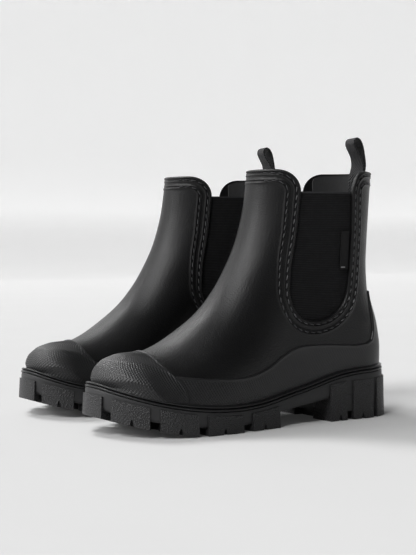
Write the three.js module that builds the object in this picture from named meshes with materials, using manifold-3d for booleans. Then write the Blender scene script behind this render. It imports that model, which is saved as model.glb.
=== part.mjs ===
// A pair of ankle-high rubber rain boots with elastic side gores and thick lugged soles.
// Millimetres, +Z up. The toes point to -X, and the outer side of the left boot faces -Y.
// The right boot is the left boot's mirror image. The origin is on the ground, midway between them.
// The side view is drawn once at the design size below and stretched to the driving dimensions.
import * as THREE from 'three';
import { mergeVertices } from 'three/addons/utils/BufferGeometryUtils.js';
import Module from 'manifold-3d';

const wasm = await Module();
wasm.setup();

// Driving dimensions
const soleLength = 275;
const soleWidth = 102;
const collarHeight = 205;
const shaftWidth = 76;
const heelHeight = 43.5;
const pairSpacing = 134;

// Walls, gaps and steps that can each be set by itself
const clearance = 0.3;
const layerGap = 0.6;
const wall = 2.5;
const elasticThickness = 1.2;
const overlayThickness = 1.1;
const ledge = 7.5;
const toeShift = 8;
const toeSpring = 15;
const capGap = 0.4;
const weltThickness = 4.5;
const weltInset = 2;
const sidewallInset = 2.2;
const weltReach = 17;
const lugReach = 24;
const lugTaper = 0.8;
const treadDepth = 7;
const archStart = 7.5;
const heelBreast = 61;
const boardThickness = 1.8;
const boardMargin = 1.2;
const footbedThickness = 4;
const footbedBevel = 3.5;
const goreOverlap = 8;
const goreTopDrop = 18;
const collarCorner = 18;
const liningDrop = 2;
const shankSize = { length: 130, width: 18, thickness: 1.4, middle: 20 };
const labelSize = { width: 9.5, height: 31, thickness: 0.8, drop: 63, seamGap: 0.9 };
const loopSize = { width: 18, thickness: 1.6, pivotX: 117.2, pivotRise: 0.2 };
const anchorSize = { height: 21, thickness: 1.6, drop: 1 };

// The size that the side view and the widths are drawn at
const design = { length: 275, width: 102, collar: 205, shaft: 76, heel: 43.5 };
const stretchX = soleLength / design.length;
const stretchY = soleWidth / design.width;

// Side view, as [x, height]
const frontLine = smoothLine([
  [-127.2, 36.5], [-128.3, 42.5], [-124, 51.5], [-110.5, 58.5], [-92, 60.5], [-76, 66.3], [-59.7, 76],
  [-41, 90], [-27, 105.5], [-15, 123.5], [-4, 144.5], [3.4, 167.5], [7, 187], [9, 205],
]);
const backLine = smoothLine([
  [132.5, 43.3], [133, 50], [132.7, 62], [128.6, 82.5], [122.3, 102], [120.2, 122], [120.8, 148],
  [122.8, 180], [124.7, 205],
]);
const weltTopLine = smoothLine([
  [-137.5, 42], [-124, 36], [-97, 28], [-55, 22], [-14, 22], [32, 30], [76, 40], [116, 43], [137.5, 43.5],
]);
const lugTopLine = smoothLine([
  [-137.5, 32], [-128, 29], [-104, 22.5], [-68, 16], [-30, 13.5], [7, 17], [60, 30], [107, 32.5], [137.5, 33],
]);
const undersideLine = smoothLine([
  [-137.5, 21], [-104, 12], [-66, 6], [-25, 5], [16, 12.5], [40, 15.5], [58, 18], [137.5, 18],
]);
const goreLine = smoothLine([
  [35, 187], [31, 156], [25, 122], [25, 100], [33.5, 87], [48, 82.5], [66, 86], [78.5, 97], [84, 120],
  [86, 154], [85.5, 187],
], 4);
const toeCapLine = smoothLine([[-76.5, 24], [-77.5, 36], [-82, 43.5], [-87.5, 51], [-90, 57], [-91.5, 80]], 3);
const foxingLine = smoothLine([
  [-82, 44.5], [-67, 43], [-51, 42], [-21, 42], [1, 48], [16, 56], [32, 62], [56, 63], [92, 61],
], 4);
const heelTab = { corner: [[104, 62], [110, 64.5], [113, 71]], x: 113.5, top: 105 };

// Half widths along the foot, outer and inner side, and up the shaft
const outerWidths = smoothLine([[-69, 51], [-39, 50], [-10, 46], [20, 41], [59, 39], [95, 38]]);
const innerWidths = smoothLine([[-69, 50], [-39, 47], [-10, 41], [20, 36.5], [59, 35.5], [95, 36]]);
const shaftWidths = [[60, 33], [110, 33.5], [155, 36], [205, 38]];

// How far from an edge of the outline its rounding starts, at four heights for the upper
const soleRounding = { toeOuter: 80, toeInner: 60, heel: 40 };
const frontRounding = {
  outer: [[40, 58], [110, 54], [150, 53], [205, 57]],
  inner: [[40, 50], [110, 50], [150, 52], [205, 57]],
};
const backRounding = [[45, 34], [80, 38], [130, 52], [205, 57]];

const OUTER = -1;
const INNER = 1;
const stationsPerSide = 12;
const soleStations = 24;
const levels = [0, 0.04, 0.08, 0.13, 0.2, 0.3, 0.42, 0.56, 0.7, 0.85, 1];
const toeCapLevels = 5;
const foxingLevels = 7;

// ---------------------------------------------------------------- lines and lookups

function smoothLine(points, steps = 8) {
  const path = points.map(([u, v]) => new THREE.Vector3(u, 0, v));
  const curve = new THREE.CatmullRomCurve3(path, false, 'centripetal');
  return curve.getPoints(steps * (points.length - 1)).map((p) => [p.x, p.z]);
}

function valueAt(line, u) {
  if (u <= line[0][0]) return line[0][1];
  for (let i = 1; i < line.length; i += 1) {
    const [u0, v0] = line[i - 1];
    const [u1, v1] = line[i];
    if (u <= u1) return v0 + ((v1 - v0) * (u - u0)) / (u1 - u0);
  }
  return line[line.length - 1][1];
}

function pointAlong(line, share) {
  const lengths = [0];
  for (let i = 1; i < line.length; i += 1) {
    lengths.push(lengths[i - 1] + Math.hypot(line[i][0] - line[i - 1][0], line[i][1] - line[i - 1][1]));
  }
  const wanted = share * lengths[lengths.length - 1];
  const xs = lengths.map((s, i) => [s, line[i][0]]);
  const zs = lengths.map((s, i) => [s, line[i][1]]);
  return [valueAt(xs, wanted), valueAt(zs, wanted)];
}

function distanceTo(line, x, z) {
  let best = Infinity;
  for (let i = 1; i < line.length; i += 1) {
    const [x0, z0] = line[i - 1];
    const [dx, dz] = [line[i][0] - x0, line[i][1] - z0];
    const share = THREE.MathUtils.clamp(((x - x0) * dx + (z - z0) * dz) / (dx * dx + dz * dz), 0, 1);
    best = Math.min(best, Math.hypot(x - x0 - share * dx, z - z0 - share * dz));
  }
  return best;
}

// Moves a side-view line sideways by a distance, to the left of its direction of travel.
function offsetLine(line, distance) {
  return line.map(([x, z], i) => {
    const [xa, za] = line[Math.max(i - 1, 0)];
    const [xb, zb] = line[Math.min(i + 1, line.length - 1)];
    const length = Math.hypot(xb - xa, zb - za);
    return [x - (distance * (zb - za)) / length, z + (distance * (xb - xa)) / length];
  });
}

// Rises from 0 at an edge to 1 at the given reach, like the quarter of an ellipse.
function roundOff(distance, reach, power) {
  const share = THREE.MathUtils.clamp(distance / reach, 0, 1);
  return (1 - (1 - share) ** power) ** (1 / power);
}

// ---------------------------------------------------------------- from the drawing to the real size

const soleHeightScale = heelHeight / design.heel;
const weltTop = (x) => valueAt(weltTopLine, x) * soleHeightScale;
const lugTop = (x) => Math.min(valueAt(lugTopLine, x) * soleHeightScale, weltTop(x) - weltThickness - 1);
const underside = (x) => valueAt(undersideLine, x) * soleHeightScale;
const weltBottom = (x) => weltTop(x) - weltThickness;
const springStart = -64;

function ground(x) {
  const share = Math.max(0, (springStart - x) / (design.length / 2 + springStart));
  return toeSpring * share ** 1.6;
}

// Height of a drawn point above the ground: the upper stretches between the welt and the collar.
function rise(x, z) {
  const drawnWelt = valueAt(weltTopLine, x);
  return weltTop(x) + ((z - drawnWelt) / (design.collar - drawnWelt)) * (collarHeight - weltTop(x));
}

const placed = (line) => line.map(([x, z]) => [x * stretchX, rise(x, z)]);
const centreLine = (x) => toeShift * (1 - THREE.MathUtils.smoothstep(x, -130, -30));

function soleHalfWidth(x, side) {
  return valueAt(side === OUTER ? outerWidths : innerWidths, x) * stretchY;
}

function soleEdge(x, side) {
  const half = soleHalfWidth(x, side) - side * centreLine(x);
  const toeReach = side === OUTER ? soleRounding.toeOuter : soleRounding.toeInner;
  const toe = roundOff(x + design.length / 2, toeReach, 2);
  const heel = roundOff(design.length / 2 - x, soleRounding.heel, 2.05);
  return centreLine(x) + side * half * toe * heel;
}

function upperEdge(x, z, side) {
  const foot = soleHalfWidth(x, side) - ledge - side * centreLine(x);
  const shaft = (valueAt(shaftWidths, z) * shaftWidth) / design.shaft;
  const half = THREE.MathUtils.lerp(foot, shaft, THREE.MathUtils.smoothstep(z, 45, 120));
  const reach = valueAt(side === OUTER ? frontRounding.outer : frontRounding.inner, z);
  const power = 2.2 - 0.2 * THREE.MathUtils.smoothstep(z, 60, 120);
  const front = roundOff(distanceTo(frontLine, x, z), reach, power);
  const back = roundOff(distanceTo(backLine, x, z), valueAt(backRounding, z), 2.05);
  return centreLine(x) + side * half * front * back;
}

// ---------------------------------------------------------------- solids

function solid(geometry) {
  const bare = geometry.index ? geometry.clone() : geometry;
  bare.deleteAttribute('normal');
  bare.deleteAttribute('uv');
  const merged = mergeVertices(bare, 1e-4);
  return new wasm.Manifold(new wasm.Mesh({
    numProp: 3,
    vertProperties: new Float32Array(merged.attributes.position.array),
    triVerts: new Uint32Array(merged.index.array),
  }));
}

function geometryOf(body) {
  const mesh = body.getMesh();
  const geometry = new THREE.BufferGeometry();
  geometry.setAttribute('position', new THREE.BufferAttribute(mesh.vertProperties, 3));
  geometry.setIndex(new THREE.BufferAttribute(mesh.triVerts, 1));
  return geometry;
}

// Joins rings of equal length by quads. A loop of rings closes on itself, as a wall with a rim does,
// and its way back folds the quads on the same diagonal as its way out, so that nested walls stay parallel.
// Otherwise the first and last ring are closed straight across, from the outer side to the inner side.
function ringBody(rings, loop) {
  const count = rings[0].length;
  const position = rings.flat().flatMap((p) => [p.x, p.y, p.z]);
  const index = [];
  const spans = loop ? rings.length : rings.length - 1;
  for (let j = 0; j < spans; j += 1) {
    const [low, high] = [j * count, ((j + 1) % rings.length) * count];
    const wayBack = loop && j >= rings.length / 2;
    for (let i = 0; i < count; i += 1) {
      const next = (i + 1) % count;
      if (wayBack) index.push(low + i, high + i, low + next, high + i, high + next, low + next);
      else index.push(low + i, high + i, high + next, low + i, high + next, low + next);
    }
  }
  if (!loop) {
    for (const [start, flip] of [[0, false], [(rings.length - 1) * count, true]]) {
      for (let i = 0; i < count / 2; i += 1) {
        const quad = [i, i + 1, count - i - 1, (count - i) % count].map((k) => start + k);
        if (flip) quad.reverse();
        if (i > 0) index.push(quad[0], quad[1], quad[3]);
        if (i < count / 2 - 1) index.push(quad[1], quad[2], quad[3]);
      }
    }
  }
  const geometry = new THREE.BufferGeometry();
  geometry.setAttribute('position', new THREE.Float32BufferAttribute(position, 3));
  geometry.setIndex(index);
  const body = solid(geometry);
  if (body.volume() > 0) return body;
  for (let i = 0; i < index.length; i += 3) [index[i + 1], index[i + 2]] = [index[i + 2], index[i + 1]];
  geometry.setIndex(index);
  return solid(geometry);
}

// A prism across the boot from a side-view outline.
function acrossPrism(outline, from, to) {
  const shape = new THREE.Shape(outline.map(([x, z]) => new THREE.Vector2(x, z)));
  const geometry = new THREE.ExtrudeGeometry(shape, { depth: to - from, bevelEnabled: false });
  geometry.rotateX(Math.PI / 2);
  geometry.translate(0, to, 0);
  return solid(geometry);
}

function box(low, high) {
  const size = high.map((value, k) => value - low[k]);
  const geometry = new THREE.BoxGeometry(...size);
  geometry.translate(...low.map((value, k) => value + size[k] / 2));
  return solid(geometry);
}

const beyond = 300;

// ---------------------------------------------------------------- the upper's surface

// Rings of points from the welt to the collar, each running heel, outer side, toe, inner side.
function upperRings() {
  const stations = [];
  for (let k = 0; k <= stationsPerSide; k += 1) {
    stations.push((1 - Math.cos((Math.PI * k) / stationsPerSide)) / 2);
  }
  const [heelLow, toeLow] = [backLine[0], frontLine[0]];
  return levels.map((level) => {
    const heel = pointAlong(backLine, level);
    const toe = pointAlong(frontLine, level);
    const drawn = stations.map((share) => {
      const lowX = THREE.MathUtils.lerp(heelLow[0], toeLow[0], share);
      const bow = valueAt(weltTopLine, lowX) - THREE.MathUtils.lerp(heelLow[1], toeLow[1], share);
      const x = THREE.MathUtils.lerp(heel[0], toe[0], share);
      return [x, THREE.MathUtils.lerp(heel[1], toe[1], share) + bow * (1 - level) ** 3];
    });
    const point = (x, z, side) => new THREE.Vector3(x * stretchX, upperEdge(x, z, side), rise(x, z));
    const outer = drawn.map(([x, z]) => point(x, z, OUTER));
    const inner = drawn.slice(1, -1).reverse().map(([x, z]) => point(x, z, INNER));
    return outer.concat(inner);
  });
}

const surface = upperRings();

function surfaceNormal(j, i) {
  const ring = surface[j];
  const count = ring.length;
  const along = ring[(i + 1) % count].clone().sub(ring[(i + count - 1) % count]);
  const below = surface[Math.max(j - 1, 0)][i];
  const above = surface[Math.min(j + 1, surface.length - 1)][i];
  return above.clone().sub(below).cross(along).normalize();
}

// The surface moved outwards by a distance. Its foot stands on the welt and its top is cut level.
function offsetSurface(distance, levelCount, topDrop) {
  return surface.slice(0, levelCount).map((ring, j) => ring.map((point, i) => {
    const moved = point.clone().addScaledVector(surfaceNormal(j, i), distance);
    if (j === 0) moved.z = weltTop(moved.x / stretchX) + layerGap;
    if (j === surface.length - 1) moved.z = collarHeight - topDrop;
    return moved;
  }));
}

function skin(outerOffset, innerOffset, levelCount = levels.length, topDrop = 0) {
  const outer = offsetSurface(outerOffset, levelCount, topDrop);
  const inner = offsetSurface(innerOffset, levelCount, topDrop);
  return ringBody(outer.concat(inner.reverse()), true);
}

const liningOuter = -wall - clearance;
const liningInner = liningOuter - elasticThickness;

// ---------------------------------------------------------------- outlines seen from the side

const gorePath = placed(goreLine);
const goreTop = collarHeight - goreTopDrop;
const goreMiddle = (gorePath[0][0] + gorePath[gorePath.length - 1][0]) / 2;
const labelLow = goreTop - labelSize.drop;

// The gore window is open at the top, and its upper corners are rounded into the collar.
function goreWindow() {
  const [frontX, backX] = [gorePath[0][0], gorePath[gorePath.length - 1][0]];
  const corner = (centreX, from, to) => {
    const arc = new THREE.EllipseCurve(centreX, goreTop, collarCorner, goreTopDrop, from, to, from > to);
    return arc.getPoints(6).map((p) => [p.x, p.y]);
  };
  const frontCorner = corner(frontX - collarCorner, Math.PI / 2, 0);
  const backCorner = corner(backX + collarCorner, Math.PI, Math.PI / 2);
  const top = collarHeight + collarCorner;
  return [[frontCorner[0][0], top], ...frontCorner, ...gorePath.slice(1, -1), ...backCorner,
    [backX + collarCorner, top]];
}

// The outline of the elastic, which reaches past the window all round and is cut off at a given height.
function goreOutline(reach, top) {
  const path = offsetLine(gorePath, -reach);
  const ends = [[path[path.length - 1][0], top], [path[0][0], top]];
  return [...path.slice(1, -1), ...ends];
}

const toeCapEdge = placed(toeCapLine);
const foxingEdge = placed(foxingLine);
const tab = {
  corner: placed(heelTab.corner),
  side: heelTab.x * stretchX,
  top: rise(heelTab.x, heelTab.top),
};

// ---------------------------------------------------------------- the sole's outline, seen from above

function soleRing(inset) {
  const stations = [];
  for (let k = 0; k <= soleStations; k += 1) {
    stations.push((Math.cos((Math.PI * k) / soleStations) * design.length) / 2);
  }
  const plan = (x, side) => new THREE.Vector2(x * stretchX, soleEdge(x, side));
  const outer = stations.map((x) => plan(x, OUTER));
  const inner = stations.slice(1, -1).reverse().map((x) => plan(x, INNER));
  return insetRing(outer.concat(inner), inset);
}

function insetRing(ring, inset) {
  return ring.map((point, i) => {
    const next = ring[(i + 1) % ring.length];
    const previous = ring[(i + ring.length - 1) % ring.length];
    const along = next.clone().sub(previous).normalize();
    return new THREE.Vector2(point.x + along.y * inset, point.y - along.x * inset);
  });
}

const lifted = (ring, height) => ring.map((p) => new THREE.Vector3(p.x, p.y, height(p.x / stretchX)));
const soleLayer = (inset, height) => lifted(soleRing(inset), height);
const footRing = surface[0].map((p) => new THREE.Vector2(p.x, p.y));
const footLayer = (inset, height) => lifted(insetRing(footRing, inset), height);

// Where a line square to the sole's edge starts, and its direction.
function edgeFrame(x, side) {
  const step = 0.5;
  const [before, after] = [soleEdge(x - step, side), soleEdge(x + step, side)];
  const angle = Math.atan2(after - before, 2 * step * stretchX);
  return { x: x * stretchX, y: soleEdge(x, side), angle };
}

// ---------------------------------------------------------------- the sole

const grooves = [[-132, 4], [-104.5, 7], [-68, 8], [-26, 10], [81.5, 7], [109.5, 5]];
const notchPlaces = [-119, -86.5, -49, -9, 71, 95];
const notch = { width: 4, height: 5, reach: 8 };
const chevrons = { first: -104, last: -8, step: 24, arm: 15, thickness: 9, sweep: 8 };
const heelBars = [[68, 80], [92, 104]];
const overhang = 5;
const mergeDepth = 2;
const slabEdge = { bottom: 3, side: 0.5, rise: 2 };
const treadGap = 3;

function groove(x, width, side) {
  const frame = edgeFrame(x, side);
  const geometry = new THREE.BoxGeometry(width, lugReach + 2 * overhang, beyond);
  geometry.translate(0, -side * (lugReach / 2), 0);
  geometry.rotateZ(frame.angle);
  geometry.translate(frame.x, frame.y, 0);
  return solid(geometry);
}

function edgeNotch(x, side) {
  const frame = edgeFrame(x, side);
  const low = ground(x) - overhang;
  const slope = (notch.width / 2) * (1 + overhang / notch.height);
  const outline = [[-slope, low], [slope, low], [0, ground(x) + notch.height]];
  const [from, to] = side === OUTER ? [-overhang, notch.reach] : [-notch.reach, overhang];
  const prism = acrossPrism(outline, from, to);
  return prism.rotate([0, 0, THREE.MathUtils.radToDeg(frame.angle)]).translate([frame.x, frame.y, 0]);
}

function chevron(x) {
  const { arm, thickness, sweep } = chevrons;
  const outline = [[0, 0], [sweep, arm], [sweep + thickness, arm], [thickness, 0], [sweep + thickness, -arm],
    [sweep, -arm]];
  const shape = new THREE.Shape(outline.map(([dx, y]) => new THREE.Vector2((x + dx) * stretchX, y)));
  const geometry = new THREE.ExtrudeGeometry(shape, { depth: beyond, bevelEnabled: false });
  geometry.translate(0, 0, -beyond / 2);
  return solid(geometry);
}

function outsole() {
  const slab = ringBody([
    soleLayer(sidewallInset + slabEdge.bottom, underside),
    soleLayer(sidewallInset + slabEdge.side, (x) => underside(x) + slabEdge.rise),
    soleLayer(sidewallInset, (x) => weltBottom(x) - layerGap),
  ], false);
  let lugs = ringBody([
    soleLayer(0, ground),
    soleLayer(lugTaper, lugTop),
    soleLayer(lugReach, lugTop),
    soleLayer(lugReach, ground),
  ], true);
  for (const side of [OUTER, INNER]) {
    for (const [x, width] of grooves) lugs = lugs.subtract(groove(x, width, side));
    for (const x of notchPlaces) lugs = lugs.subtract(edgeNotch(x, side));
  }
  const arch = box([archStart * stretchX, -beyond, -beyond], [heelBreast * stretchX, beyond, beyond]);
  lugs = lugs.subtract(arch);
  const heelHalf = box([heelBreast * stretchX, -beyond, -beyond], [beyond, beyond, beyond]);
  const heelBlock = ringBody([
    soleLayer(sidewallInset, () => treadDepth),
    soleLayer(sidewallInset, (x) => underside(x) + mergeDepth),
  ], false).intersect(heelHalf);
  const centre = ringBody([
    soleLayer(lugReach + treadGap, ground),
    soleLayer(lugReach + treadGap, (x) => underside(x) + mergeDepth),
  ], false);
  let body = slab.add(heelBlock).add(lugs);
  for (let x = chevrons.first; x <= chevrons.last; x += chevrons.step) {
    body = body.add(centre.intersect(chevron(x)));
  }
  for (const [from, to] of heelBars) {
    const bar = box([from * stretchX, -beyond, -beyond], [to * stretchX, beyond, beyond]);
    body = body.add(centre.intersect(bar));
  }
  return body;
}

// Two beads run round the welt's outer edge, with a groove between them. The upper one stands back a little.
const bead = { shoulder: 1.4, setBack: 0.4, groove: 1.2, crown: 0.6 };

function welt() {
  const below = (depth) => (x) => weltTop(x) - depth;
  return ringBody([
    soleLayer(weltInset + bead.shoulder, weltTop),
    soleLayer(weltInset + bead.setBack, below(bead.crown)),
    soleLayer(weltInset + bead.setBack, below(weltThickness * 0.4)),
    soleLayer(weltInset + bead.groove, below(weltThickness * 0.5)),
    soleLayer(weltInset, below(weltThickness * 0.6)),
    soleLayer(weltInset, below(weltThickness)),
    soleLayer(weltReach, below(weltThickness)),
    soleLayer(weltReach, weltTop),
  ], true);
}

const shankBottom = (x) => weltTop(x) - shankSize.thickness - clearance;

function shankBody(grow) {
  const half = shankSize.length / 2 + grow;
  const steps = 8;
  const rows = [];
  for (let k = 0; k <= steps; k += 1) {
    const x = shankSize.middle * stretchX - half + (2 * half * k) / steps;
    const low = shankBottom(x / stretchX) - grow;
    const high = low + shankSize.thickness + 2 * grow;
    const y = shankSize.width / 2 + grow;
    rows.push([[-y, low], [y, low], [y, high], [-y, high]].map(([py, pz]) => new THREE.Vector3(x, py, pz)));
  }
  return ringBody(rows, false);
}

function filler() {
  const plate = ringBody([
    soleLayer(weltReach + clearance, weltBottom),
    soleLayer(weltReach + clearance, weltTop),
  ], false);
  return plate.subtract(shankBody(clearance));
}

function insoleBoard() {
  const inset = -liningInner + boardMargin;
  return ringBody([
    footLayer(inset, (x) => weltTop(x) + layerGap),
    footLayer(inset, (x) => weltTop(x) + layerGap + boardThickness),
  ], false);
}

function footbed() {
  const low = boardThickness + layerGap + clearance;
  const inset = -liningInner + boardMargin;
  return ringBody([
    footLayer(inset + boardMargin, (x) => weltTop(x) + low),
    footLayer(inset + boardMargin + footbedBevel, (x) => weltTop(x) + low + footbedThickness),
  ], false);
}

// ---------------------------------------------------------------- the upper and what is fixed to it

function upper() {
  return skin(0, -wall).subtract(acrossPrism(goreWindow(), -beyond, beyond));
}

function lining() {
  const gap = goreOutline(goreOverlap + 2 * clearance, collarHeight + collarCorner);
  const whole = skin(liningOuter, liningInner, levels.length, liningDrop);
  return whole.subtract(acrossPrism(gap, -beyond, beyond));
}

function gore(side) {
  const [from, to] = side === OUTER ? [-beyond, 0] : [0, beyond];
  return skin(liningOuter, liningInner).intersect(acrossPrism(goreOutline(goreOverlap, goreTop), from, to));
}

const overlay = (levelCount) => skin(clearance + overlayThickness, clearance, levelCount);

function toeCap() {
  const outline = [...toeCapEdge, [-beyond, toeCapEdge[toeCapEdge.length - 1][1]], [-beyond, 0],
    [toeCapEdge[0][0], 0]];
  return overlay(toeCapLevels).intersect(acrossPrism(outline, -beyond, beyond));
}

// The foxing starts behind the toe cap, rises in a wave and ends in a tab up the back of the heel.
function foxing() {
  const start = offsetLine(toeCapEdge, -capGap).filter(([, z]) => z < foxingEdge[0][1]);
  const outline = [[start[0][0], 0], ...start, ...foxingEdge, ...tab.corner, [tab.side, tab.top],
    [beyond, tab.top], [beyond, 0]];
  return overlay(foxingLevels).intersect(acrossPrism(outline, -beyond, beyond));
}

function label() {
  const labelTop = labelLow + labelSize.height;
  const seam = gorePath.filter(([x]) => x > goreMiddle).map(([x, z]) => [z, x]);
  const seamX = Math.min(valueAt(seam, labelLow), valueAt(seam, labelTop)) - labelSize.seamGap;
  const patch = box([seamX - labelSize.width, -beyond, labelLow], [seamX, 0, labelTop]);
  const outerFace = liningOuter + 2 * clearance + labelSize.thickness;
  return skin(outerFace, outerFace - labelSize.thickness).intersect(patch);
}

// ---------------------------------------------------------------- the pull loop

const pivot = { x: loopSize.pivotX * stretchX, z: collarHeight - 1 + loopSize.pivotRise };

function pullLoop() {
  const middle = [[0, 1.3], [-8.4, 7], [-13.6, 16.5], [-12.4, 25], [-7.1, 29.4], [-1.4, 26.5], [1.4, 17], [1.6, 8]];
  const path = middle.map(([dx, dz]) => new THREE.Vector3(pivot.x + dx, pivot.z + dz, 0));
  const round = new THREE.CatmullRomCurve3(path, true, 'centripetal').getPoints(28).slice(0, -1);
  const points = round.map((p) => new THREE.Vector2(p.x, p.y));
  const shape = new THREE.Shape(insetRing(points, -loopSize.thickness / 2).reverse());
  shape.holes.push(new THREE.Path(insetRing(points, loopSize.thickness / 2)));
  const geometry = new THREE.ExtrudeGeometry(shape, { depth: loopSize.width, bevelEnabled: false });
  geometry.rotateX(Math.PI / 2);
  geometry.translate(0, loopSize.width / 2, 0);
  return solid(geometry);
}

// The strap's sewn ends, on the lining inside the back of the collar.
function loopAnchor() {
  const face = liningInner - clearance;
  const top = collarHeight - anchorSize.drop;
  const patch = box([goreMiddle, -loopSize.width / 2, top - anchorSize.height], [beyond, loopSize.width / 2, top]);
  return skin(face, face - anchorSize.thickness).intersect(patch);
}

// ---------------------------------------------------------------- the pair

const finishes = {
  rubber: { color: 0x2b2b2c, roughness: 0.6 },
  sole: { color: 0x272728, roughness: 0.7 },
  elastic: { color: 0x161617, roughness: 0.9 },
  textile: { color: 0x1b1b1c, roughness: 0.95 },
  webbing: { color: 0x202021, roughness: 0.85 },
  board: { color: 0x8a7a62, roughness: 0.9 },
  foam: { color: 0x3a3a3c, roughness: 0.9 },
  steel: { color: 0xa8abae, roughness: 0.35, metalness: 1 },
};

const pieces = [
  ['outsole', outsole(), finishes.sole],
  ['welt', welt(), finishes.sole],
  ['filler', filler(), finishes.foam],
  ['shank', shankBody(0), finishes.steel],
  ['insole_board', insoleBoard(), finishes.board],
  ['footbed', footbed(), finishes.textile],
  ['upper', upper(), finishes.rubber],
  ['lining', lining(), finishes.textile],
  ['gore_outer', gore(OUTER), finishes.elastic],
  ['gore_inner', gore(INNER), finishes.elastic],
  ['toe_cap', toeCap(), finishes.rubber],
  ['foxing', foxing(), finishes.rubber],
  ['label', label(), finishes.textile],
  ['loop_anchor', loopAnchor(), finishes.webbing],
  ['pull_loop', pullLoop(), finishes.webbing],
];

function boot(prefix) {
  const group = new THREE.Group();
  for (const [name, body, finish] of pieces) {
    const mesh = new THREE.Mesh(geometryOf(body), new THREE.MeshStandardMaterial(finish));
    mesh.name = `${prefix}_${name}`;
    group.add(mesh);
  }
  return group;
}

const left = boot('left');
left.position.y = -pairSpacing / 2;
const right = boot('right');
right.scale.y = -1;
right.position.y = pairSpacing / 2;

const pair = new THREE.Group();
pair.add(left, right);
export default pair;
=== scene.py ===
import math

import bpy
import numpy as np
from mathutils import Matrix, Vector


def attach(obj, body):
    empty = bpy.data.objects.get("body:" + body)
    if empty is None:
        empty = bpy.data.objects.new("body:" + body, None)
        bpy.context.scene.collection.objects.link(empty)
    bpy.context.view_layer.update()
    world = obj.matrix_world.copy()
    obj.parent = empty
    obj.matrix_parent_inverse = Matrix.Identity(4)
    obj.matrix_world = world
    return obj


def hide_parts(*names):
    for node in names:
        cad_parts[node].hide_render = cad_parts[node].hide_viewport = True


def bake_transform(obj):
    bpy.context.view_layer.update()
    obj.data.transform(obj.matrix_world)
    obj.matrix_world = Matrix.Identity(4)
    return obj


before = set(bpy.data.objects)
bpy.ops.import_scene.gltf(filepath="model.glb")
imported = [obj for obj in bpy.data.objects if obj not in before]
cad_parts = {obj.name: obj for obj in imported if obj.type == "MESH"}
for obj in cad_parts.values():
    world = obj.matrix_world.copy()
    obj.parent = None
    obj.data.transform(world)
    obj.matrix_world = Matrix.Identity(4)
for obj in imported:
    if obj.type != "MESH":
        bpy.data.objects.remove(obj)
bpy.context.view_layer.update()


# ---------------------------------------------------------------- outsole
# One moulded slab of rubber with a heel block, a ring of blocky lugs and a V tread under it.
# The lugs stand proud of the smooth sidewall. Each has a nick in its lower edge and a stippled face.

BOOTS = (("left", 1), ("right", -1))
HALF_PAIR = 67.0
OUTER, INNER = -1, 1
SOLE_END = 137.5
WELT_HEIGHT = 4.5
SIDEWALL_INSET = 2.2
LUG_REACH = 24.0
LUG_TAPER = 0.8
TREAD_DEPTH = 7.0
TOE_SPRING = 15.0
SPRING_START = -64.0
TOE_SWING = 8.0
TOE_ROUNDING = {OUTER: 80, INNER: 60}
HEEL_ROUNDING = 40
BREAST = 61.0
HEEL_MIDDLE = (100.0, 0.0)
LUG_STEP = 2.2
TREAD_ROOT = 2.0


def smooth_line(points, steps=12):
    """A centripetal Catmull-Rom line through points of any number of coordinates."""
    points = np.array(points, float)
    ends = [2 * points[0] - points[1], 2 * points[-1] - points[-2]]
    padded = np.vstack([ends[0], points, ends[1]])
    line = []
    for before, start, end, after in zip(padded, padded[1:], padded[2:], padded[3:]):
        gaps = [np.sum((b - a) ** 2) ** 0.25 for a, b in ((before, start), (start, end), (end, after))]
        leave = (start - before) / gaps[0] - (end - before) / (gaps[0] + gaps[1]) + (end - start) / gaps[1]
        arrive = (end - start) / gaps[1] - (after - start) / (gaps[1] + gaps[2]) + (after - end) / gaps[2]
        leave, arrive = leave * gaps[1], arrive * gaps[1]
        t = np.linspace(0, 1, steps, endpoint=False)[:, None]
        bend = -3 * start + 3 * end - 2 * leave - arrive
        twist = 2 * start - 2 * end + leave + arrive
        line.append(start + leave * t + bend * t**2 + twist * t**3)
    return np.vstack(line + [points[-1:]])


def value_at(line, where):
    return np.interp(where, line[:, 0], line[:, 1])


def smooth_step(value, low, high):
    share = np.clip((np.asarray(value, float) - low) / (high - low), 0, 1)
    return share * share * (3 - 2 * share)


def round_off(distance, reach, power):
    """Rises from 0 at an edge to 1 at the given reach, like the quarter of an ellipse."""
    share = np.clip(distance / reach, 0, 1)
    return (1 - (1 - share) ** power) ** (1 / power)


welt_top_line = smooth_line([
    (-137.5, 42), (-124, 36), (-97, 28), (-55, 22), (-14, 22), (32, 30), (76, 40), (116, 43), (137.5, 43.5)])
lug_top_line = smooth_line([
    (-137.5, 32), (-128, 29), (-104, 22.5), (-68, 16), (-30, 13.5), (7, 17), (60, 30), (107, 32.5),
    (137.5, 33)])
underside_line = smooth_line([
    (-137.5, 21), (-104, 12), (-66, 6), (-25, 5), (16, 12.5), (40, 15.5), (58, 18), (137.5, 18)])
outer_widths = smooth_line([(-69, 51), (-39, 50), (-10, 46), (20, 41), (59, 39), (95, 38)])
inner_widths = smooth_line([(-69, 50), (-39, 47), (-10, 41), (20, 36.5), (59, 35.5), (95, 36)])


def underside(x):
    return value_at(underside_line, x)


def welt_top(x):
    return value_at(welt_top_line, x)


def welt_foot(x):
    return welt_top(x) - WELT_HEIGHT


def ground(x):
    share = np.maximum(0, (SPRING_START - np.asarray(x, float)) / (SOLE_END + SPRING_START))
    return TOE_SPRING * share**1.6


def centre_line(x):
    return TOE_SWING * (1 - smooth_step(x, -130, -30))


def half_width(x, side):
    return value_at(outer_widths if side == OUTER else inner_widths, x)


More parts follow.
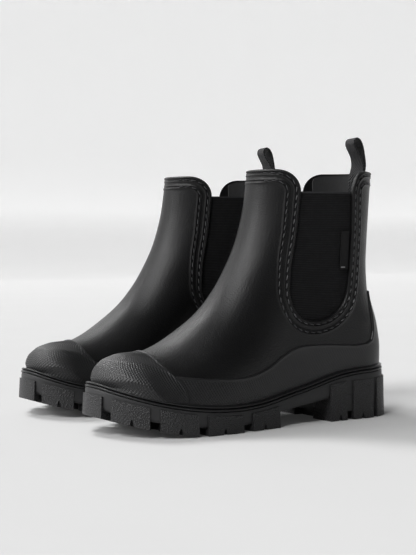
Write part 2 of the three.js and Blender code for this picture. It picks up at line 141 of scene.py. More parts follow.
def sole_edge(x, side):
    x = np.asarray(x, float)
    half = half_width(x, side) - side * centre_line(x)
    toe = round_off(x + SOLE_END, TOE_ROUNDING[side], 2)
    heel = round_off(SOLE_END - x, HEEL_ROUNDING, 2.05)
    return centre_line(x) + side * half * toe * heel


def sole_outline(count):
    """The sole's edge seen from above: from the heel along the outer side to the toe and back."""
    x = SOLE_END * np.cos(np.pi * np.arange(count + 1) / count)
    outer = np.column_stack([x, sole_edge(x, OUTER)])
    inner = np.column_stack([x[1:-1], sole_edge(x[1:-1], INNER)])[::-1]
    return np.vstack([outer, inner])


def lengths_along(line):
    """The distance along a line of points to each of them."""
    return np.concatenate([[0], np.cumsum(np.linalg.norm(np.diff(line, axis=0), axis=1))])


def inward(ring):
    """Unit vectors in the plan, pointing into a ring that runs heel, outer side, toe, inner side."""
    along = np.roll(ring, -1, axis=0) - np.roll(ring, 1, axis=0)
    along /= np.linalg.norm(along, axis=1)[:, None]
    return np.column_stack([along[:, 1], -along[:, 0]])


def link_piece(name, shape, turn, material, crease, measures=None):
    """Makes a mesh from millimetres of the left boot; the right boot takes its mirror image."""
    points, faces = shape
    placed = np.array(points, float)
    placed[:, 1] = turn * (placed[:, 1] - HALF_PAIR)
    if turn < 0:
        faces = [tuple(face)[::-1] for face in faces]
    mesh = bpy.data.meshes.new(name)
    mesh.from_pydata((placed / 1000).tolist(), [], [tuple(int(k) for k in face) for face in faces])
    mesh.shade_smooth()
    mesh.set_sharp_from_angle(angle=math.radians(crease))
    for key, values in (measures or {}).items():
        layer = mesh.attributes.new(key, "FLOAT", "POINT")
        layer.data.foreach_set("value", np.asarray(values, np.float32))
    mesh.materials.append(material)
    piece = bpy.data.objects.new(name, mesh)
    bpy.context.scene.collection.objects.link(piece)
    return piece


def pair_of_pieces(name, shape, material, crease, node=None, body="boot", measures=None):
    """Makes the piece for each boot, tied to its body, and in place of its node if it has one."""
    made = []
    for prefix, turn in BOOTS:
        piece = link_piece(f"{prefix}_{name}", shape, turn, material, crease, measures)
        if node:
            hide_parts(f"{prefix}_{node}")
        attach(piece, f"{prefix}_{body}")
        made.append((prefix, piece))
    return made


def grid_faces(rows, columns, wrap_rows=False, wrap_columns=False, start=0):
    """Quads over a grid of points, row after row."""
    j = np.arange(rows if wrap_rows else rows - 1)
    i = np.arange(columns if wrap_columns else columns - 1)
    jj, ii = np.meshgrid(j, i, indexing="ij")
    nj, ni = (jj + 1) % rows, (ii + 1) % columns
    quads = np.stack([jj * columns + ii, jj * columns + ni, nj * columns + ni, nj * columns + ii], axis=-1)
    return (quads.reshape(-1, 4) + start).tolist()


class Shells:
    """Closed shells gathered into one mesh."""

    def __init__(self):
        self.points, self.faces, self.marks, self.count = [], [], [], 0

    def outward(self, points, faces, mark=0.0):
        """Adds a shell, turned so that its faces look outwards. The mark is a value its points carry."""
        points = np.asarray(points, float)
        volume = 0.0
        for face in faces:
            a = points[face[0]]
            for b, c in zip(face[1:], face[2:]):
                volume += np.dot(a, np.cross(points[b], points[c]))
        order = 1 if volume > 0 else -1
        self.faces += [tuple(int(k) + self.count for k in face[::order]) for face in faces]
        self.points.append(points)
        self.marks += [mark] * len(points)
        self.count += len(points)

    def shape(self):
        return np.vstack(self.points), self.faces


def colour(code):
    """An sRGB hex colour as the linear values that Blender's sockets take."""
    values = [int(code[k:k + 2], 16) / 255 for k in (1, 3, 5)]
    linear = [v / 12.92 if v <= 0.04045 else ((v + 0.055) / 1.055) ** 2.4 for v in values]
    return (*linear, 1.0)


def add_node(tree, kind, settings=None, links=None):
    """Adds a shader node. Settings are its own properties; links are values or sockets for its inputs."""
    made = tree.nodes.new(f"ShaderNode{kind}")
    for key, value in (settings or {}).items():
        setattr(made, key, value)
    for key, value in (links or {}).items():
        if isinstance(value, bpy.types.NodeSocket):
            tree.links.new(value, made.inputs[key])
        else:
            made.inputs[key].default_value = value
    return made


def start_material(name, **values):
    """A new material with a Principled shader whose plain values sit on its own sockets."""
    material = bpy.data.materials.new(name)
    material.use_nodes = True
    tree = material.node_tree
    shader = tree.nodes["Principled BSDF"]
    for key, value in values.items():
        shader.inputs[key.replace("_", " ")].default_value = value
    return material, tree, shader


def surface(tree, shader, tone, colours, rough=None, height=None, relief=None):
    """A tone runs between two colours and two roughnesses; a height makes bumps of [strength, distance]."""
    dark, light = (value if isinstance(value, bpy.types.NodeSocket) else colour(value) for value in colours)
    tint = add_node(tree, "MixRGB", links={"Fac": tone, "Color1": dark, "Color2": light})
    tree.links.new(tint.outputs["Color"], shader.inputs["Base Color"])
    if rough:
        gloss = add_node(tree, "MapRange", links={"Value": tone, "To Min": rough[0], "To Max": rough[1]})
        tree.links.new(gloss.outputs["Result"], shader.inputs["Roughness"])
    if relief:
        bump = add_node(tree, "Bump", links={
            "Height": height, "Strength": relief[0], "Distance": relief[1]})
        tree.links.new(bump.outputs["Normal"], shader.inputs["Normal"])


def moulded_stippled_rubber():
    """Sole rubber from an etched mould: near black, stippled on the lugs and satin on the sidewall."""
    material, tree, shader = start_material(
        "moulded_stippled_rubber", IOR=1.52, Roughness=0.5, Specular_IOR_Level=0.4)
    place = add_node(tree, "TexCoord").outputs["Object"]
    blotch = add_node(tree, "TexNoise", links={"Vector": place, "Scale": 45.0, "Detail": 4.0})
    # Stipple grains are about 1 mm, drawn at 1.3 mm so that they show.
    grains = add_node(tree, "TexVoronoi", links={"Vector": place, "Scale": 800.0})
    stippled = add_node(tree, "Attribute", {"attribute_name": "stippled"}).outputs["Fac"]
    dots = add_node(tree, "MapRange", links={
        "Value": grains.outputs["Distance"], "From Min": 0.1, "From Max": 0.6, "To Min": 1.0, "To Max": 0.0})
    height = add_node(tree, "Math", {"operation": "MULTIPLY"}, {0: dots.outputs["Result"], 1: stippled})
    surface(tree, shader, blotch.outputs["Fac"], ("#202021", "#2b2b2c"), (0.42, 0.56),
            height.outputs[0], (0.9, 0.0005))
    return material


class Edge:
    """Places on the sole's edge by their distance round it."""

    def __init__(self, steps):
        ring, normals = sole_outline(steps), inward(sole_outline(steps))
        self.half = steps
        self.closed = np.vstack([ring, ring[:1]])
        self.normals = np.vstack([normals, normals[:1]])
        self.s = lengths_along(self.closed)
        self.length = self.s[-1]

    def where(self, x, side):
        xs = self.closed[:, 0]
        if side == OUTER:
            return np.interp(-x, -xs[:self.half + 1], self.s[:self.half + 1])
        return np.interp(x, xs[self.half:], self.s[self.half:])

    def at(self, s, inset):
        s = np.mod(s, self.length)
        spot = [np.interp(s, self.s, self.closed[:, k]) for k in (0, 1)]
        turn = [np.interp(s, self.s, self.normals[:, k]) for k in (0, 1)]
        return spot[0] + turn[0] * inset, spot[1] + turn[1] * inset


edge = Edge(steps=700)
NOTCH = {"half": 2.0, "tip": 0.35, "height": 5.0, "reach": 8.0}
# Along each side, from the heel to the toe: where a lug starts and ends, and where its nick is
LUG_PLACES = [
    (107, 85, 95), (78, 61, 71), (7.5, -21, -9), (-31, -64, -49), (-72, -101, -86.5), (-108, -130, -119)]


def lug(shells, start, end, notch_at):
    """A block from the sole's edge inwards, between two places along the edge."""
    stops = list(np.linspace(start, end, max(8, int(abs(end - start) / LUG_STEP))))
    if notch_at is not None:
        stops = [s for s in stops if abs(s - notch_at) > NOTCH["half"] + 0.8]
        stops += [notch_at + sign * NOTCH[part] for part in ("half", "tip") for sign in (-1, 1)]
    stops = np.array(sorted(stops))
    depths = np.array([0, 2.5, 5, NOTCH["reach"], NOTCH["reach"] + 0.1, 16, LUG_REACH])
    s, d = np.meshgrid(stops, depths, indexing="ij")
    bottom_x, bottom_y = edge.at(s, d)
    top_x, top_y = edge.at(s, d + LUG_TAPER * (d < 1))
    low = ground(bottom_x)
    if notch_at is not None:
        share = (NOTCH["half"] - np.abs(s - notch_at)) / (NOTCH["half"] - NOTCH["tip"])
        rise = NOTCH["height"] * np.clip(share, 0, 1)
        low = low + np.where(d <= NOTCH["reach"], rise, 0)
    high = np.minimum(value_at(lug_top_line, top_x), welt_foot(top_x) - 1)
    points = np.concatenate([
        np.stack([bottom_x, bottom_y, low], axis=-1).reshape(-1, 3),
        np.stack([top_x, top_y, high], axis=-1).reshape(-1, 3)])
    rows, columns = s.shape
    layer = rows * columns
    faces = [q[::-1] for q in grid_faces(rows, columns)] + grid_faces(rows, columns, start=layer)
    for i in range(rows - 1):
        for j in (0, columns - 1):
            a, b = i * columns + j, (i + 1) * columns + j
            quad = [a, b, b + layer, a + layer]
            faces.append(quad if j == 0 else quad[::-1])
    for j in range(columns - 1):
        for i in (0, rows - 1):
            a, b = i * columns + j, i * columns + j + 1
            quad = [a, a + layer, b + layer, b]
            faces.append(quad if i == 0 else quad[::-1])
    shells.outward(points, faces, mark=1.0)


def ring_shell(shells, rings):
    """Rings joined by quads, with the first and last closed straight across the sole."""
    count = len(rings[0])
    faces = grid_faces(len(rings), count, wrap_columns=True)
    for start, flip in ((0, True), ((len(rings) - 1) * count, False)):
        for i in range(count // 2):
            quad = [start + k for k in (i, i + 1, count - i - 1, (count - i) % count)]
            quad = [k for n, k in enumerate(quad) if k not in quad[:n]]
            faces.append(quad[::-1] if flip else quad)
    shells.outward(np.vstack(rings), faces)


def sole_ring(inset, height, lift=0.0, count=150):
    ring = sole_outline(count)
    ring = ring + inward(ring) * inset
    return np.column_stack([ring, height(ring[:, 0]) + lift])


def prism(shells, outline, foot):
    """A block with an outline seen from above, from the height its foot has up to its root in the sole."""
    outline = np.array(outline, float)
    count = len(outline)
    heights = foot(outline[:, 0]), underside(outline[:, 0]) + TREAD_ROOT
    points = np.vstack([np.column_stack([outline, height]) for height in heights])
    faces = [tuple(range(count))[::-1], tuple(range(count, 2 * count))]
    faces += [(k, (k + 1) % count, (k + 1) % count + count, k + count) for k in range(count)]
    shells.outward(points, faces)


# How far in from the sole's edge, on which line, and how far above it
SIDEWALL_SECTION = [
    (SIDEWALL_INSET + 3, underside, 0), (SIDEWALL_INSET + 1.2, underside, 0.4),
    (SIDEWALL_INSET + 0.4, underside, 1.4), (SIDEWALL_INSET, underside, 3), (SIDEWALL_INSET, welt_foot, -1.6),
    (SIDEWALL_INSET + 0.3, welt_foot, -0.4), (SIDEWALL_INSET + 1.5, welt_foot, 0)]
HEEL_LUG_END, TOE_LUG_END = 112, -134
CHEVRON_STARTS = range(-104, -7, 24)
CHEVRON = [(0, 0), (8, 15), (17, 15), (9, 0), (17, -15), (8, -15)]
CHEVRON_GAP = 3
HEEL_BARS, BAR_REACH = ((68, 80), (92, 104)), 10.0


def heel_outline():
    """The heel block's outline: the sole's edge behind the breast, drawn in by the sidewall's inset."""
    turn = math.acos(BREAST / SOLE_END)
    angles = np.linspace(-turn, turn, 90)
    heel_x = SOLE_END * np.cos(angles)
    heel_y = np.where(angles < 0, sole_edge(heel_x, OUTER), sole_edge(heel_x, INNER))
    heel = np.column_stack([heel_x, heel_y])
    pull = (HEEL_MIDDLE - heel) / np.linalg.norm(HEEL_MIDDLE - heel, axis=1)[:, None]
    pull[np.abs(heel_x - BREAST) < 0.01, 0] = 0
    return heel + pull * SIDEWALL_INSET


def outsole_shells():
    shells = Shells()
    ring_shell(shells, [sole_ring(*row) for row in SIDEWALL_SECTION])
    prism(shells, heel_outline(), lambda x: np.full(len(x), TREAD_DEPTH))
    for side in (OUTER, INNER):
        for start, end, nick in LUG_PLACES:
            stops = sorted(edge.where(x, side) for x in (start, end))
            lug(shells, stops[0], stops[1], edge.where(nick, side))
    lug(shells, edge.where(HEEL_LUG_END, INNER) - edge.length, edge.where(HEEL_LUG_END, OUTER), None)
    lug(shells, edge.where(TOE_LUG_END, OUTER), edge.where(TOE_LUG_END, INNER), None)
    for first in CHEVRON_STARTS:
        outline = []
        for dx, y in CHEVRON:
            low = sole_edge(first + dx, OUTER) + LUG_REACH + CHEVRON_GAP
            high = sole_edge(first + dx, INNER) - LUG_REACH - CHEVRON_GAP
            outline.append((first + dx, float(np.clip(y, low, high))))
        prism(shells, outline, ground)
    for start, end in HEEL_BARS:
        prism(shells, [(start, -BAR_REACH), (end, -BAR_REACH), (end, BAR_REACH), (start, BAR_REACH)], ground)
    return shells


sole = outsole_shells()
for _, piece in pair_of_pieces(
        "lugged_outsole", sole.shape(), moulded_stippled_rubber(), 35, "outsole",
        measures={"stippled": sole.marks}):
    rounding = piece.modifiers.new("moulded_edges", "BEVEL")
    rounding.width = 0.0011
    rounding.segments = 3
    rounding.limit_method = "ANGLE"
    rounding.angle_limit = math.radians(38)
    rounding.harden_normals = False


# ---------------------------------------------------------------- welt
# A strip of rubber between the sole and the upper, with two round beads and a groove between them.
# It is moulded smooth and a little glossier than the lugs, so each bead carries a thin bright line.

def smooth_moulded_rubber():
    """Polished-mould rubber: near black, low gloss, with only a breath of grain."""
    material, tree, shader = start_material(
        "smooth_moulded_rubber", IOR=1.52, Roughness=0.4, Specular_IOR_Level=0.4)
    place = add_node(tree, "TexCoord").outputs["Object"]
    haze = add_node(tree, "TexNoise", links={"Vector": place, "Scale": 60.0, "Detail": 5.0})
    grain = add_node(tree, "TexNoise", links={"Vector": place, "Scale": 1400.0, "Detail": 2.0})
    surface(tree, shader, haze.outputs["Fac"], ("#131314", "#1a1a1b"), (0.28, 0.38),
            grain.outputs["Fac"], (0.2, 0.0002))
    return material


# Distance in from the sole's edge, and depth below the welt's top
WELT_SECTION = [
    (17, 0), (9, 0), (5.2, 0), (4.1, 0.05), (3.4, 0.15), (2.9, 0.4), (2.62, 0.8), (2.6, 1.2), (2.8, 1.6),
    (3.3, 1.9), (3.9, 2.05), (4.1, 2.25), (3.6, 2.45), (2.7, 2.55), (2.2, 2.8), (2.02, 3.2), (2.0, 3.6),
    (2.15, 4.05), (2.6, 4.4), (3.4, 4.5), (9, 4.5), (17, 4.5)]

welt_rings = [sole_ring(inset, welt_top, -depth, count=200) for inset, depth in WELT_SECTION]
welt = Shells()
welt.outward(np.vstack(welt_rings), grid_faces(len(welt_rings), len(welt_rings[0]), True, True))
pair_of_pieces("beaded_welt", welt.shape(), smooth_moulded_rubber(), 55, "welt")


# ---------------------------------------------------------------- filler, shank and insole board
# Inside the sole lie a foam filler, a spring-steel shank let into it and a pressed-fibre board over both.
# They are the exact solids of the frame, and only take finishes here.

def expanded_sole_foam():
    """Foamed filler: charcoal, chalky and full of small cells."""
    material, tree, shader = start_material("expanded_sole_foam", IOR=1.5, Roughness=0.9)
    place = add_node(tree, "TexCoord").outputs["Object"]
    cells = add_node(tree, "TexVoronoi", links={"Vector": place, "Scale": 700.0}).outputs["Distance"]
    surface(tree, shader, cells, ("#2e2e30", "#454548"), None, cells, (0.6, 0.0004))
    return material


def rolled_spring_steel():
    """Cold-rolled steel strip: bright grey with fine rolling lines along its length."""
    material, tree, shader = start_material("rolled_spring_steel", Metallic=1.0, Roughness=0.35)
    place = add_node(tree, "TexCoord").outputs["Object"]
    lengthways = add_node(tree, "Mapping", links={"Vector": place, "Scale": (40.0, 2500.0, 2500.0)})
    lines = add_node(tree, "TexNoise", links={"Vector": lengthways.outputs["Vector"], "Scale": 1.0})
    surface(tree, shader, lines.outputs["Fac"], ("#8f9295", "#b9bbbd"), (0.28, 0.45))
    return material


def pressed_fibre_board():
    """Cellulose board: tan, flecked with longer fibres, quite matt."""
    material, tree, shader = start_material("pressed_fibre_board", IOR=1.5, Roughness=0.88)
    place = add_node(tree, "TexCoord").outputs["Object"]
    fibres = add_node(tree, "TexNoise", links={
        "Vector": place, "Scale": 350.0, "Detail": 8.0, "Distortion": 2.0}).outputs["Fac"]
    surface(tree, shader, fibres, ("#75664f", "#9d8c6f"), None, fibres, (0.4, 0.0003))
    return material


inner_finishes = {
    "filler": expanded_sole_foam(), "shank": rolled_spring_steel(), "insole_board": pressed_fibre_board()}
for node, finish in inner_finishes.items():
    for prefix, _ in BOOTS:
        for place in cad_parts[f"{prefix}_{node}"].material_slots:
            place.material = finish


# ---------------------------------------------------------------- upper
# The boot's body, one seamless shell of matt rubber 2.5 mm thick that runs from the sole to the collar.
# A window for the elastic is cut in each side, and an embossed band with two mock seams follows its rim.

WALL = 2.5
COLLAR = 205.0
GORE_TOP = 187.0
CORNER = 18.0
UPPER_INSET = 7.5
FOOT_TOP, SHAFT_FOOT = 45, 120

front_line = smooth_line([
    (-127.2, 36.5), (-128.3, 42.5), (-124, 51.5), (-110.5, 58.5), (-92, 60.5), (-76, 66.3), (-59.7, 76),
    (-41, 90), (-27, 105.5), (-15, 123.5), (-4, 144.5), (3.4, 167.5), (7, 187), (9, 205)])
back_line = smooth_line([
    (132.5, 43.3), (133, 50), (132.7, 62), (128.6, 82.5), (122.3, 102), (120.2, 122), (120.8, 148),
    (122.8, 180), (124.7, 205)])
gore_line = smooth_line([
    (35, 187), (31, 156), (25, 122), (25, 100), (33.5, 87), (48, 82.5), (66, 86), (78.5, 97), (84, 120),
    (86, 154), (85.5, 187)])
shaft_widths = np.array([(60, 33), (110, 33.5), (155, 36), (205, 38)], float)
front_reach = {
    OUTER: np.array([(40, 58), (110, 54), (150, 53), (205, 57)], float),
    INNER: np.array([(40, 50), (110, 50), (150, 52), (205, 57)], float)}
back_reach = np.array([(45, 34), (80, 38), (130, 52), (205, 57)], float)


def distance_to(line, x, z):
    """How far points of the side view lie from a line of points."""
    x, z = np.asarray(x, float), np.asarray(z, float)
    shape = x.shape
    spots = np.column_stack([x.ravel(), z.ravel()])
    best = np.full(len(spots), np.inf)
    for start, end in zip(line, line[1:]):
        run = end - start
        share = np.clip(((spots - start) @ run) / (run @ run), 0, 1)
        gap = spots - start - share[:, None] * run
        best = np.minimum(best, np.einsum("ij,ij->i", gap, gap))
    return np.sqrt(best).reshape(shape)


def upper_edge(x, z, side):
    """How far out the upper reaches at a place of the side view."""
    foot = half_width(x, side) - UPPER_INSET - side * centre_line(x)
    half = foot + (value_at(shaft_widths, z) - foot) * smooth_step(z, FOOT_TOP, SHAFT_FOOT)
    power = 2.2 - 0.2 * smooth_step(z, 60, SHAFT_FOOT)
    front = round_off(distance_to(front_line, x, z), value_at(front_reach[side], z), power)
    back = round_off(distance_to(back_line, x, z), value_at(back_reach, z), 2.05)
    return centre_line(x) + side * half * front * back


def point_along(line, share):
    lengths = lengths_along(line)
    wanted = share * lengths[-1]
    return np.interp(wanted, lengths, line[:, 0]), np.interp(wanted, lengths, line[:, 1])


class Sheet:
    """A triangulated patch of the upper: its points' places, normals, and millimetres round and up."""

    def __init__(self, data, tris):
        self.data, self.tris = data, tris

    def x(self):
        return self.data[:, 0]

    def z(self):
        return self.data[:, 2]

    def run(self):
        return self.data[:, 6]

    def rise(self):
        return self.data[:, 7]

    def both_faces(self):
        """The places round and up, as measures for the two faces of a shell."""
        return {"run_mm": np.tile(self.run(), 2), "rise_mm": np.tile(self.rise(), 2)}

    def split(self, field, values):
        """Cuts the triangles along lines of equal field, so that folds and edges can follow them."""
        for value in values:
            offset = field - value
            offset[np.abs(offset) < 1e-4] = 0
            sign = np.sign(offset).astype(int)
            corner = self.tris
            ends = np.stack([corner, np.roll(corner, -1, axis=1)], axis=-1)
            crossing = sign[ends[..., 0]] * sign[ends[..., 1]] < 0
            if not crossing.any():
                continue
            pairs = np.sort(ends[crossing], axis=1)
            unique, back = np.unique(pairs, axis=0, return_inverse=True)
            back = back.reshape(-1)
            weight = offset[unique[:, 0]] / (offset[unique[:, 0]] - offset[unique[:, 1]])
            start, end = self.data[unique[:, 0]], self.data[unique[:, 1]]
            new = start + weight[:, None] * (end - start)
            first = len(self.data)
            made = np.full(crossing.shape, -1)
            made[crossing] = first + back
            self.data = np.vstack([self.data, new])
            field = np.concatenate([field, np.full(len(new), value)])
            number = crossing.sum(axis=1)
            parts = [corner[number == 0]]
            for k in range(3):
                # Edge k is cut and the corner across from it lies on the line
                one = (number == 1) & crossing[:, k]
                a, b, c = corner[one, k], corner[one, (k + 1) % 3], corner[one, (k + 2) % 3]
                cut = made[one, k]
                parts += [np.column_stack([a, cut, c]), np.column_stack([cut, b, c])]
                # Edges k and k + 1 are cut, so corner k + 1 stands alone
                two = (number == 2) & crossing[:, k] & crossing[:, (k + 1) % 3]
                a, b, c = corner[two, k], corner[two, (k + 1) % 3], corner[two, (k + 2) % 3]
                cut_in, cut_out = made[two, k], made[two, (k + 1) % 3]
                parts += [np.column_stack([cut_in, b, cut_out]), np.column_stack([a, cut_in, cut_out]),
                          np.column_stack([a, cut_out, c])]
            self.tris = np.vstack(parts)
        return field

    def keep(self, field, low):
        """Keeps the triangles whose middle lies above a value. Returns the numbers of the points they use."""
        chosen = field[self.tris].mean(axis=1) > low
        used, back = np.unique(self.tris[chosen], return_inverse=True)
        self.data = self.data[used]
        self.tris = back.reshape(-1, 3)
        return used

    def thicken(self, outer, inner):
        """A closed shell between two distances from the surface."""
        outer = np.broadcast_to(np.asarray(outer, float), len(self.data))
        inner = np.broadcast_to(np.asarray(inner, float), len(self.data))
        count = len(self.data)
        place, normal = self.data[:, :3], self.data[:, 3:6]
        points = np.vstack([place + normal * outer[:, None], place + normal * inner[:, None]])
        rims = np.concatenate([self.tris[:, [0, 1]], self.tris[:, [1, 2]], self.tris[:, [2, 0]]])
        key = np.sort(rims, axis=1)
        _, first, uses = np.unique(key, axis=0, return_index=True, return_counts=True)
        open_edges = rims[first[uses == 1]]
        a, b = open_edges[:, 0], open_edges[:, 1]
        walls = np.column_stack([b, a, a + count, b + count])
        faces = self.tris.tolist() + (self.tris[:, ::-1] + count).tolist() + walls.tolist()
        return points, faces


def grid_sheet(place, normal, run, rise, closed=False):
    """A sheet over a grid of places, with its triangles turned to face along the normals."""
    data = np.concatenate([place, normal, run[..., None], rise[..., None]], axis=-1).reshape(-1, 8)
    quads = np.array(grid_faces(*run.shape, wrap_columns=closed))
    tris = np.vstack([quads[:, [0, 1, 2]], quads[:, [0, 2, 3]]])
    a, b, c = data[tris[len(tris) // 2]]
    if np.dot(np.cross(b[:3] - a[:3], c[:3] - a[:3]), a[3:6]) < 0:
        tris = tris[:, ::-1]
    return Sheet(data, tris)


def welt_bow(share):
    """How far the welt's top lies above the straight line from the upper's foot at the heel to the toe's."""
    x = back_line[0, 0] + (front_line[0, 0] - back_line[0, 0]) * share
    return welt_top(x) - (back_line[0, 1] + (front_line[0, 1] - back_line[0, 1]) * share)


def upper_sheet(stations, levels, toe_from=0.0):
    """The surface at the given levels, in rings that run heel, outer side, toe, inner side."""
    t = np.asarray(levels)[:, None]
    angle = np.linspace(math.acos(1 - 2 * toe_from), math.pi, stations + 1)
    share = ((1 - np.cos(angle)) / 2)[None, :]
    heel_x, heel_z = point_along(back_line, t)
    toe_x, toe_z = point_along(front_line, t)
    bow = welt_bow(share) - welt_bow(0.0) * (1 - share) - welt_bow(1.0) * share
    x = heel_x + (toe_x - heel_x) * share
    z = heel_z + (toe_z - heel_z) * share + bow * (1 - t) ** 3
    halves = [np.stack([x, upper_edge(x, z, side), z], axis=-1) for side in (OUTER, INNER)]
    closed = toe_from == 0
    place = np.concatenate([halves[0], halves[1][:, ::-1][:, 1:-1 if closed else None]], axis=1)
    if closed:
        along = np.roll(place, -1, axis=1) - np.roll(place, 1, axis=1)
    else:
        along = np.gradient(place, axis=1)
    normal = np.cross(np.gradient(place, axis=0), along)
    normal /= np.linalg.norm(normal, axis=-1)[..., None]
    rows, columns = place.shape[:2]
    level_step = np.linalg.norm(np.diff(place, axis=0), axis=-1)
    rise = np.vstack([np.zeros((1, columns)), np.cumsum(level_step, axis=0)])
    run = lengths_along(place[rows // 6])
    run = np.broadcast_to(run - run[columns // 2], (rows, columns))
    return grid_sheet(place, normal, run, rise, closed)


def inside(outline, x, z):
    """Whether places of the side view lie inside an outline."""
    result = np.zeros(x.shape, bool)
    for (x0, z0), (x1, z1) in zip(outline, np.roll(outline, -1, axis=0)):
        if z0 == z1:
            continue
        spans = (z0 > z) != (z1 > z)
        result ^= spans & (x < (x1 - x0) * (z - z0) / (z1 - z0) + x0)
    return result


def depth_inside(sheet, line, outline):
    """How far a sheet's points lie from a line: above 0 inside the outline, and below 0 outside it."""
    distance = distance_to(line, sheet.x(), sheet.z())
    return np.where(inside(outline, sheet.x(), sheet.z()), distance, -distance)


def rim_line():
    """The upper's rim seen from the side: the collar's edge, its rounded corners and the gore windows."""
    quarter = np.linspace(0, math.pi / 2, 12)
    front_x, back_x = gore_line[0, 0], gore_line[-1, 0]
    across, rise = CORNER * np.sin(quarter), CORNER * np.cos(quarter)
    front = np.column_stack([front_x - CORNER + across, GORE_TOP + rise])
    back = np.column_stack([back_x + CORNER - rise, GORE_TOP + across])
    return np.vstack([[(-400, COLLAR)], front[:-1], gore_line, back[1:], [(400, COLLAR)]])


rim = rim_line()
rim_outline = np.vstack([rim, [(400, 900), (-400, 900)]])


def from_rim(x, z):
    distance = distance_to(rim, x, np.minimum(z, COLLAR))
    return np.where(inside(rim_outline, x, np.minimum(z, COLLAR - 1e-6)), -distance, distance)


# The embossed band by distance from the rim: a lip, a seam, a flat, a ridge, a seam and a raised edge
BAND = np.array([
    (0, -1.1), (0.25, -0.45), (0.7, 0.15), (1.2, 0.5), (1.7, 0.55), (2.1, 0.2), (2.4, -0.45), (3.2, -0.6),
    (3.9, -0.4), (4.2, 0.25), (4.7, 0.4), (5.2, 0.1), (5.6, -0.15), (7.6, -0.15), (8.1, 0.1), (8.5, 0.15),
    (8.8, -0.45), (9.5, -0.65), (10.2, -0.5), (10.5, 0.35), (10.9, 0.6), (11.4, 0.4), (12.2, 0.05),
    (13.2, 0)])
SEAM_DEPTHS = (3.2, 9.6)


def matt_moulded_rubber():
    """Matt rubber from a sand-blasted mould: near black, a broad soft highlight and a fine even grain."""
    material, tree, shader = start_material(
        "matt_moulded_rubber", IOR=1.52, Roughness=0.42, Specular_IOR_Level=0.3)
    place = add_node(tree, "TexCoord").outputs["Object"]
    haze = add_node(tree, "TexNoise", links={"Vector": place, "Scale": 22.0, "Detail": 4.0})
    # The mould's grain is about 0.3 mm, drawn at 1.2 mm so that it shows.
    grain = add_node(tree, "TexNoise", links={"Vector": place, "Scale": 850.0, "Detail": 3.0})
    surface(tree, shader, haze.outputs["Fac"], ("#09090a", "#0e0e0f"), (0.35, 0.42),
            grain.outputs["Fac"], (0.7, 0.0004))
    return material


body = upper_sheet(130, np.linspace(0, 1, 150))
rim_field = from_rim(body.x(), body.z())
rim_field = body.split(rim_field, BAND[:, 0])
rim_field = rim_field[body.keep(rim_field, low=0)]
body_shape = body.thicken(np.interp(rim_field, BAND[:, 0], BAND[:, 1]), -WALL)
pair_of_pieces("rubber_upper", body_shape, matt_moulded_rubber(), 50, "upper")


# ---------------------------------------------------------------- mock seams
# The band's two seams are moulded with the upper, each a row of raised stitch marks lying in its groove.
# The marks catch the light as short slanted dashes along the rim, and their pale colour is a painted
# highlight.

STITCH_PITCH = 6.3
STITCH_LENGTH = 4.6
STITCH_WIDTH = 0.8
STITCH_HEIGHT = 1.0
STITCH_SINK = 0.5
STITCH_SLANT = 0.35
SEAM_STEP = 0.5


def surface_place(x, z, side):
    """A place on the upper's surface with its outward normal."""
    step = 0.4
    here = np.stack([x, upper_edge(x, z, side), z], axis=-1)
    ahead = np.stack([x + step, upper_edge(x + step, z, side), z], axis=-1)
    above = np.stack([x, upper_edge(x, z + step, side), z + step], axis=-1)
    normal = np.cross(ahead - here, above - here) * -side
    return here, normal / np.linalg.norm(normal, axis=-1)[..., None]


def offset_line(line, distance):
    """A line moved to the right of its direction of travel."""
    run = np.gradient(line, axis=0)
    run /= np.linalg.norm(run, axis=1)[:, None]
    return line + np.column_stack([run[:, 1], -run[:, 0]]) * distance


def seam_paths(depth):
    """The seam's line in the side view, round a gore window and on along the collar."""
    along_front, along_back = np.linspace(11.5, 16.5, 8), np.linspace(104, 121, 14)
    start = np.column_stack([along_front, np.full(8, COLLAR)])
    end = np.column_stack([along_back, np.full(14, COLLAR)])
    corner_front, corner_back = rim[1:12], rim[-13:-1]
    line = offset_line(np.vstack([start, corner_front, gore_line[1:-1], corner_back, end]), depth)
    return line[np.abs(from_rim(line[:, 0], line[:, 1]) - depth) < 0.25]


def resample(line, pitch):
    lengths = lengths_along(line)
    count = max(2, int(lengths[-1] / pitch) + 1)
    wanted = np.linspace(0, lengths[-1], count)
    return np.column_stack([np.interp(wanted, lengths, line[:, k]) for k in range(line.shape[1])])


def stitch(shells, start, end, normal, width, height):
    """A rounded dash from one place to another, lying on the surface with the given normal."""
    rings, around = 7, 8
    along = end - start
    length = np.linalg.norm(along)
    along = along / length
    across = np.cross(normal, along)
    points = []
    for k in range(rings):
        share = k / (rings - 1)
        swell = math.sqrt(max(0.02, 1 - (2 * share - 1) ** 4))
        for a in range(around):
            turn_angle = 2 * math.pi * a / around
            side = math.cos(turn_angle) * width / 2 * swell
            lift = math.sin(turn_angle) * height * swell
            points.append(start + along * share * length + across * side + normal * lift)
    faces = grid_faces(rings, around, wrap_columns=True)
    faces += [tuple(range(around))[::-1], tuple(range((rings - 1) * around, rings * around))]
    shells.outward(points, faces)


def painted_highlight_stitch_marks():
    """The marks' crests, painted pale as a highlight, and glossier than the rubber round them."""
    material, tree, shader = start_material("painted_highlight_stitch_marks", IOR=1.52, Roughness=0.34)
    place = add_node(tree, "TexCoord").outputs["Object"]
    # The noise varies the painted highlight on the marks between dim and bright.
    painted_glint_noise = add_node(tree, "TexNoise", links={"Vector": place, "Scale": 300.0, "Detail": 3.0})
    surface(tree, shader, painted_glint_noise.outputs["Fac"], ("#3c3c3e", "#6c6c6e"))
    return material


